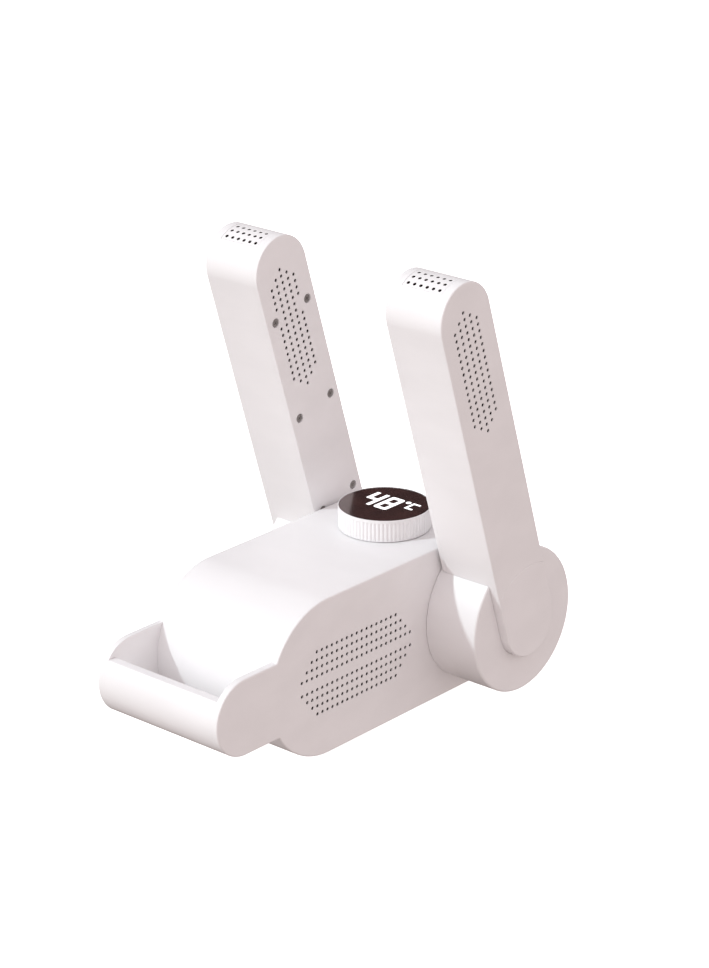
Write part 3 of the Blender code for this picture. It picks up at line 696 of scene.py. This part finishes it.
def support_height(offset):
    """Just under the blower's round case, at the rib's side nearer to its middle."""
    nearest = abs(offset) - HALF_RIB
    low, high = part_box("fan_housing")
    radius = (high.z - low.z) / 2
    return GRILLE_Z - math.sqrt(radius ** 2 - nearest ** 2) - FIT


def add_rib(plate, y, top):
    half_width = 0.020
    outline = rectangle((-half_width, y - HALF_RIB), (half_width, y + HALF_RIB))
    combine(plate, block("rib", outline, PLATE_LOW.z + WALL - 0.001, top, upright()), "UNION")


def feet():
    """Low rubber buttons with a rounded edge and a shallow dish underneath."""
    low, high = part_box("foot_1")
    radius = reach("foot_1", 2, (low + high) / 2)
    edge = 0.0006
    profile = [(AXIS, 0.0003), (radius * 0.6, 0.0003), (radius * 0.66, 0)]
    profile += [(radius - inward, deep) for inward, deep in reversed(quarter(edge))]
    profile += [(radius, high.z), (AXIS, high.z)]
    for number, (x, y) in enumerate(foot_places(), 1):
        foot = turned(f"rubber_foot_{number}", profile, upright(x, y), closed=False)
        finish_piece(foot, "base", "foot_rubber", f"foot_{number}")


def screw(name, node, body, radius, placing, tip):
    """A pan head with a cross recess, whose head lies at depth 0 and whose shank runs to tip."""
    head, shank, edge = 0.0009, 0.0014, 0.0005
    profile = [(AXIS, 0)] + [(radius - inward, deep) for inward, deep in reversed(quarter(edge))]
    profile += [(radius, head), (shank, head), (shank, tip), (AXIS, tip)]
    piece = turned(name, profile, placing, closed=False, steps=32)
    arm, half, depth = 0.55 * radius, 0.00028, 0.0006
    slot = rectangle((-arm, -half), (arm, half))
    for turn in (20, 110):
        cross = placing @ Matrix.Rotation(math.radians(turn), 4, "Z")
        combine(piece, block("cross", slot, -0.001, depth, cross))
    finish_piece(piece, body, "screw_steel", node)


def base_screws():
    head_radius = 0.003
    for number, (x, y) in enumerate(base_screw_places(), 1):
        node = f"base_screw_{number}"
        low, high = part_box(node)
        screw(f"fixing_screw_{number}", node, "base", head_radius, upright(x, y, low.z), high.z - low.z)


def cord_gland():
    """A rubber boss on the rear curve: a collar with a rounded edge, a bore and a neck in the wall.
    It is turned too long at first, and then cut back to its own end and to the body's curve."""
    edge = 0.0012
    face, start, collar = GLAND_HIGH.y, REAR_Y + 0.030, REAR_Y + 0.041
    placing = rearwards(GLAND_Z)
    profile = [(GLAND_BORE, start), (GLAND_NECK, start), (GLAND_NECK, collar), (GLAND_RADIUS, collar)]
    profile += [(GLAND_RADIUS - inward, face - deep) for inward, deep in quarter(edge)]
    profile += [(GLAND_BORE + inward, face - deep) for inward, deep in reversed(quarter(edge / 2))]
    gland = turned("rubber_cord_gland", profile, placing)
    behind = rectangle((-0.02, -0.02), (0.02, 0.02))
    combine(gland, block("behind", behind, start - 0.01, GLAND_LOW.y, placing))
    curve = circle((REAR_Y, BODY_Z), BODY_RADIUS + SEAM, 4 * ARC_STEPS)
    wall = block("wall", curve, -0.05, 0.05, on_side(1))
    neck = circle((0, 0), GLAND_NECK + SEAM)
    combine(wall, block("neck_space", neck, start - 0.02, face + 0.01, placing))
    combine(gland, wall)
    finish_piece(gland, "base", "gland_rubber", "cord_gland")


# ---------------------------------------------------------------- dial and display


def dial_ribs(angle, radius, deep):
    """How far the grip's grooves cut into the ring's outside. Near its two ends there are none."""
    fade_low, fade_high, groove_depth = RING_LOW.z + 0.0007, RING_HIGH.z - 0.0022, 0.00045
    if radius < DIAL_RADIUS - 1e-6 or not fade_low < deep < fade_high:
        return 0.0
    groove = 0.5 + 0.5 * math.cos(angle * DIAL_RIBS)
    return groove_depth * groove ** 1.5


def dial_ring():
    """A grip ring with upright ribs below a plain band, and a thin lip round the display."""
    low, high = RING_LOW.z, RING_HIGH.z
    edge, lip, inner = 0.0002, LENS_RADIUS + SEAM, SEAT_RADIUS + FIT
    rib_low, rib_high = low + 0.0008, high - 0.0023
    step = LENS_LOW.z - 0.0016
    profile = [(inner, low), (DIAL_RADIUS - 0.0003, low), (DIAL_RADIUS, low + 0.0003)]
    profile += [(DIAL_RADIUS, low + 0.00069), (DIAL_RADIUS, rib_low), (DIAL_RADIUS, rib_high)]
    profile += [(DIAL_RADIUS, high - 0.0019), (DIAL_RADIUS, high - 1.5 * edge)]
    profile += [(DIAL_RADIUS - inward, high - deep) for inward, deep in quarter(edge)]
    profile += [(lip + 0.0001, high), (lip, high - 0.0001), (lip, step), (inner, step)]
    ring = turned("grip_ring", profile, upright(0, DIAL.y), steps=8 * DIAL_RIBS, ribs=dial_ribs)
    finish_piece(ring, "dial", "dial_plastic", "dial_ring")


def display_lens():
    edge = 0.0003
    profile = [(AXIS, LENS_LOW.z), (LENS_RADIUS, LENS_LOW.z)]
    profile += [(LENS_RADIUS - inward, LENS_HIGH.z - deep) for inward, deep in quarter(edge)]
    profile += [(LENS_RADIUS - 2 * edge, LENS_HIGH.z), (AXIS, LENS_HIGH.z)]
    lens = turned("smoked_lens", profile, upright(0, DIAL.y), closed=False)
    finish_piece(lens, "base", "display_lens", "display_lens")


def digit_outlines(digit, left, bottom, width, height, stroke):
    """The outlines of one chunky glyph: its edge, then its holes."""
    right, top = left + width, bottom + height
    middle = (bottom + top) / 2
    near, far = left + stroke, right - stroke
    half = stroke / 2
    if digit == "8":
        edge = rectangle((left, bottom), (right, top))
        lower = rectangle((near, bottom + stroke), (far, middle - half))
        upper = rectangle((near, middle + half), (far, top - stroke))
        return [soft_corners(edge, 0.0022), soft_corners(lower, 0.0005), soft_corners(upper, 0.0005)]
    if digit == "4":
        corners = [(left, top), (left, middle - half), (far, middle - half), (far, bottom), (right, bottom)]
        corners += [(right, top), (far, top), (far, middle + half), (near, middle + half), (near, top)]
    if digit == "C":
        corners = [(right, top), (left, top), (left, bottom), (right, bottom), (right, bottom + stroke)]
        corners += [(near, bottom + stroke), (near, top - stroke), (right, top - stroke)]
    return [soft_corners([Vector(corner) for corner in corners], 0.0006)]


def display_digits():
    """A temperature reading, seen the right way up from the handle's side."""
    bottom, height, stroke = -0.0075, 0.0203, 0.0029
    outlines = digit_outlines("4", -0.0165, bottom, 0.0102, height, stroke)
    outlines += digit_outlines("8", -0.0037, bottom, 0.0104, height, stroke)
    outlines += digit_outlines("C", 0.0132, bottom + 0.0102, 0.0062, 0.0100, 0.0018)
    outlines += [circle((0.0101, 0.0112), 0.0018, 32), circle((0.0101, 0.0112), 0.0007, 32)]
    digits = flat_art("display_digits", outlines, LENS_HIGH.z, LENS_HIGH.z + 0.00008, upright(0, DIAL.y))
    finish_piece(digits, "base", "display_lens")
    digits.data.materials[0] = MATERIALS["display_light"]


# ---------------------------------------------------------------- barrels and arms


def barrel(side_name, side):
    """A drum with a soft outer edge and a web that runs on the sleeve, open where the arm passes through."""
    low, high = HALF_WIDTH + 4 * SEAM, BARREL_OUT
    inside, bore, centre, web = BARREL_RADIUS - WALL, SLEEVE_RADIUS + FIT, 0.012, 0.0520
    edge, inner_edge = 0.0014, 0.0004
    profile = [(bore, web), (inside, web), (inside, high - WALL), (centre, high - WALL), (centre, high)]
    profile += [(BARREL_RADIUS - inward, high - deep) for inward, deep in reversed(quarter(edge))]
    profile += [(BARREL_RADIUS, high - 1.5 * edge), (BARREL_RADIUS, low + 1.5 * inner_edge)]
    profile += [(BARREL_RADIUS - inward, low + deep) for inward, deep in quarter(inner_edge)]
    profile.append((bore, low))
    drum = turned(side_name + "_drum", profile, on_arm(side))
    passage = stadium(ARM_RADIUS + FIT / 2, 0.08)
    combine(drum, block("passage", passage, COVER_OUT, ARM_OUT + 0.01, on_arm(side)))
    finish_piece(drum, side_name + "_arm", "arm_plastic", side_name + "_barrel")


def arm_grille_places(side, centre_up, outwards, split=False):
    """Five columns of holes. On the inner side the outer columns miss two holes beside the top wells."""
    depth = ARM_OUT if outwards else ARM_IN
    face = Matrix.Translation((0, 0, depth))
    if not outwards:
        face = face @ Matrix.Rotation(math.pi, 4, "X")
    places = []
    for column, count in enumerate(ARM_COUNTS):
        across = ARM_GRILLE_ACROSS + (column - 2) * ARM_COLUMN_PITCH
        for number in range(count):
            if split and count == min(ARM_COUNTS) and number in SPLIT_HOLES:
                continue
            up = centre_up + ((count - 1) / 2 - number) * ARM_PITCH
            places.append(on_arm(side) @ Matrix.Translation((across, up, 0)) @ face)
    return places


def tip_outline(inner, outer, start, end):
    """A piece of the round tip, between two angles counted from the arm's line towards the rear."""
    outside = arc((0, ARM_SPAN), outer, 90 - start, 90 - end, 24)
    return outside + arc((0, ARM_SPAN), inner, 90 - end, 90 - start, 24)


def arm_shell(side_name, side):
    """The arm's outer half: a tray with a soft outer edge, a window in its tip and a recess for its cap."""
    rim = COVER_OUT + FIT
    profile = [(WALL, ARM_OUT - WALL), (WALL, rim), (0, rim), (0, ARM_OUT - 1.5 * EDGE)]
    profile += [(inward, ARM_OUT - deep) for inward, deep in quarter(EDGE)]
    shell = loft(side_name + "_shell", stadium(ARM_RADIUS, ARM_SPAN), profile, on_arm(side))
    recess = block("cap_recess", cap_outline(SEAM), ARM_OUT - CAP_THICKNESS, ARM_OUT + 0.01, on_arm(side))
    combine(shell, recess)
    window = tip_outline(ARM_RADIUS - 0.006, ARM_RADIUS + 0.006, *TIP_WINDOW)
    low, high = ARM_MIDDLE - TIP_HALF_WIDTH, ARM_MIDDLE + TIP_HALF_WIDTH
    combine(shell, block("window", window, low, high, on_arm(side)))
    drill(shell, arm_grille_places(side, OUTER_GRILLE_UP, True))
    finish_piece(shell, side_name + "_arm", "arm_plastic", side_name + "_arm_shell", inner="painted_hole_shade")


def inner_cover(side_name, side):
    """The arm's flat lid, with its grille and screw wells. Its foot follows the barrel."""
    clear = BARREL_RADIUS + FIT
    meets = math.degrees(math.acos(ARM_RADIUS / clear))
    outline = arc((0, ARM_SPAN), ARM_RADIUS, 0, 180) + arc((0, 0), clear, 180 - meets, meets)
    profile = rounded_profile(ARM_IN, COVER_OUT + FIT - SEAM, 0.0007, 0)
    cover = loft(side_name + "_lid", outline, profile, on_arm(side))
    for across, up in WELLS:
        place = on_arm(side) @ Matrix.Translation((across, up, ARM_IN))
        combine(cover, block("well", circle((0, 0), WELL_RADIUS, 48), -0.01, WELL_DEPTH, place))
        combine(cover, block("hole", circle((0, 0), SCREW_HOLE, 24), -0.01, 0.01, place))
    drill(cover, arm_grille_places(side, INNER_GRILLE_UP, False, split=True))
    finish_piece(cover, side_name + "_arm", "arm_plastic", side_name + "_inner_cover", inner="painted_hole_shade")


def tip_vent(side_name, side):
    """The curved insert in the round tip, with three rows of holes."""
    gap_angle, edge = 0.35, 0.0002
    start, end = TIP_WINDOW[0] + gap_angle, TIP_WINDOW[1] - gap_angle
    half = TIP_HALF_WIDTH - FIT / 2
    outline = soft_corners(tip_outline(ARM_RADIUS - WALL, ARM_RADIUS - SEAM, start, end), edge, 3)
    profile = rounded_profile(ARM_MIDDLE - half, ARM_MIDDLE + half, edge, edge)
    vent = loft(side_name + "_tip_insert", outline, profile, on_arm(side))
    places = []
    for row in TIP_ROWS:
        for number in range(TIP_HOLES):
            along = ARM_MIDDLE + (number - (TIP_HOLES - 1) / 2) * TIP_PITCH
            centre = on_arm(side) @ Matrix.Translation((0, ARM_SPAN, along))
            outwards = Matrix.Rotation(math.radians(-row), 4, "Z") @ Matrix.Rotation(-math.pi / 2, 4, "X")
            places.append(centre @ outwards @ Matrix.Translation((0, 0, ARM_RADIUS - SEAM)))
    # a short white band, so that the painted shade makes these holes look near-black
    drill(vent, places, white=0.0002)
    finish_piece(vent, side_name + "_arm", "arm_plastic", side_name + "_tip_vent", inner="painted_hole_shade")


def cap_outline(grow=0.0):
    """The arm's lower end: round below, straight sides, and an arc about the hinge across its top."""
    width, top = ARM_RADIUS + grow, CAP_REACH + grow
    corner = math.degrees(math.acos(width / top))
    return arc((0, 0), top, corner, 180 - corner) + arc((0, 0), width, 180, 360)


def hinge_cap(side_name, side):
    """The cover over the arm's lower end, whose top edge shows as a faint arc."""
    edge = 0.0008
    profile = rounded_profile(ARM_OUT - CAP_THICKNESS + SEAM, ARM_OUT, 0, edge)
    cap = loft(side_name + "_pivot_cap", cap_outline(), profile, on_arm(side))
    finish_piece(cap, side_name + "_arm", "arm_plastic", side_name + "_hinge_cap")


def arm_screws(side_name, side):
    head_radius, sunk, length = 0.0026, 0.0004, 0.0116
    for number, (across, up) in enumerate(WELLS, 1):
        placing = on_arm(side) @ Matrix.Translation((across, up, ARM_IN + sunk))
        node = f"{side_name}_arm_screw_{number}"
        screw(f"{side_name}_lid_screw_{number}", node, side_name + "_arm", head_radius, placing, length)


def arm(side_name, side):
    barrel(side_name, side)
    arm_shell(side_name, side)
    inner_cover(side_name, side)
    tip_vent(side_name, side)
    hinge_cap(side_name, side)
    arm_screws(side_name, side)


def inner_parts():
    """The CAD parts that keep their shape take the material of their slot."""
    slots = {
        "duct_plastic": ["fan_housing", "fan_impeller", "heater_frame", "air_manifold"],
        "heater_aluminium": ["heater_core"],
        "motor_steel": ["fan_motor", "motor_shaft", "thermal_fuse"],
        "circuit_board": ["control_board", "display_module"],
        "dial_plastic": ["dial_seat"],
    }
    for side_name in ("right", "left"):
        slots["duct_plastic"].append(side_name + "_hinge_sleeve")
        slots["motor_steel"].append(side_name + "_retaining_ring")
        slots.setdefault("washer_acetal", []).append(side_name + "_friction_washer")
    for slot, names in slots.items():
        for name in names:
            materials = frame["nodes"][name].data.materials
            materials.clear()
            materials.append(MATERIALS[slot])


# ---------------------------------------------------------------- studio


def floor():
    """White paper that lights itself, so that it shows no shadow. It lies just below the feet."""
    shape = bmesh.new()
    half, drop = 12, 0.0003
    corners = ((-half, -half), (half, -half), (half, half), (-half, half))
    shape.faces.new([shape.verts.new((x, y, -drop)) for x, y in corners])
    mesh = bpy.data.meshes.new("floor")
    shape.to_mesh(mesh)
    shape.free()
    made, shader = new_shader("floor_paper", (0.93, 0.93, 0.93), 0.9)
    vary_colour(made, shader, noise(made.node_tree, 0.5, 2.0), (0.93, 0.93, 0.93), (0.95, 0.95, 0.95))
    shader.inputs["Emission Color"].default_value = (1, 1, 1, 1)
    shader.inputs["Emission Strength"].default_value = 1.0
    mesh.materials.append(made)
    piece = new_piece("floor", mesh)
    piece.visible_diffuse = False
    piece.visible_glossy = False
    piece.visible_shadow = False


def surround():
    """Soft warm light from all round, brightest at eye level and dim from below. Gloss doesn't show it."""
    world = bpy.data.worlds.new("studio")
    world.use_nodes = True
    bpy.context.scene.world = world
    tree = world.node_tree
    background = tree.nodes["Background"]
    background.inputs["Strength"].default_value = 1.2
    place = tree.nodes.new("ShaderNodeTexCoord")
    parts = tree.nodes.new("ShaderNodeSeparateXYZ")
    height = tree.nodes.new("ShaderNodeMapRange")
    height.inputs["From Min"].default_value = -1
    height.inputs["From Max"].default_value = 1
    ramp = tree.nodes.new("ShaderNodeValToRGB")
    ramp.color_ramp.elements[0].color = (0.06, 0.028, 0.018, 1)
    ramp.color_ramp.elements[1].color = (0.62, 0.575, 0.592, 1)
    ramp.color_ramp.elements.new(0.5).color = (0.933, 0.825, 0.80, 1)
    tree.links.new(place.outputs["Generated"], parts.inputs["Vector"])
    tree.links.new(parts.outputs["Z"], height.inputs["Value"])
    tree.links.new(height.outputs["Result"], ramp.inputs["Fac"])
    tree.links.new(ramp.outputs["Color"], background.inputs["Color"])
    world.cycles_visibility.glossy = False


def lamp(name, towards, energy, colour, spread):
    """A distant lamp that shines from the given direction. A spread in degrees softens its shadows."""
    light = bpy.data.lights.new(name, "SUN")
    light.energy = energy
    light.color = colour
    light.angle = math.radians(spread)
    piece = bpy.data.objects.new(name, light)
    bpy.context.scene.collection.objects.link(piece)
    piece.rotation_mode = "QUATERNION"
    piece.rotation_quaternion = Vector(towards).to_track_quat("Z", "Y")


def lamps():
    """The key stands left, in front and above. The fill is a wide soft light nearer to straight ahead."""
    lamp("key", (-0.44, -0.66, 0.61), 1.58, (0.85, 0.975, 1.0), 3)
    lamp("fill", (-0.25, -0.95, 0.10), 0.28, (0.97, 1.0, 1.0), 40)


def card():
    """A small reflector tucked behind the handle bar, which lifts the pocket and the body's front curve."""
    light = bpy.data.lights.new("card", "AREA")
    light.shape = "RECTANGLE"
    clear, behind, raised = 0.005, 0.002, 0.003
    light.size = 2 * (CHEEK_IN - clear)
    light.size_y = 0.012
    light.energy = 0.006
    piece = bpy.data.objects.new("card", light)
    bpy.context.scene.collection.objects.link(piece)
    piece.location = (0, PANEL_LOW.y + BAR_WALL + behind, NOSE_Z + raised)
    piece.rotation_mode = "QUATERNION"
    piece.rotation_quaternion = Vector((0, -1, -0.2)).to_track_quat("Z", "Y")
    piece.visible_camera = False
    piece.visible_glossy = False


def camera():
    """Stands to the right and in front of the object and looks down on it by about twenty degrees."""
    lens = bpy.data.cameras.new("camera")
    lens.lens = 114.6
    lens.sensor_width = 36
    eye = bpy.data.objects.new("camera", lens)
    bpy.context.scene.collection.objects.link(eye)
    eye.location = (1.1664, -1.2873, 0.8260)
    aim = Vector((-0.0051, 0.0400, 0.1361))
    roll = Matrix.Rotation(math.radians(-0.34), 3, "Z").to_quaternion()
    eye.rotation_mode = "QUATERNION"
    eye.rotation_quaternion = (eye.location - aim).to_track_quat("Z", "Y") @ roll
    bpy.context.scene.camera = eye


camera()
surround()
lamps()
card()
floor()
bpy.context.scene.view_settings.view_transform = "Standard"

main_housing()
handle_bar()
base_plate()
feet()
base_screws()
cord_gland()
dial_ring()
display_lens()
display_digits()
for SIDE_NAME, SIDE in (("right", 1), ("left", -1)):
    side_panel(SIDE_NAME, SIDE)
    arm(SIDE_NAME, SIDE)
inner_parts()
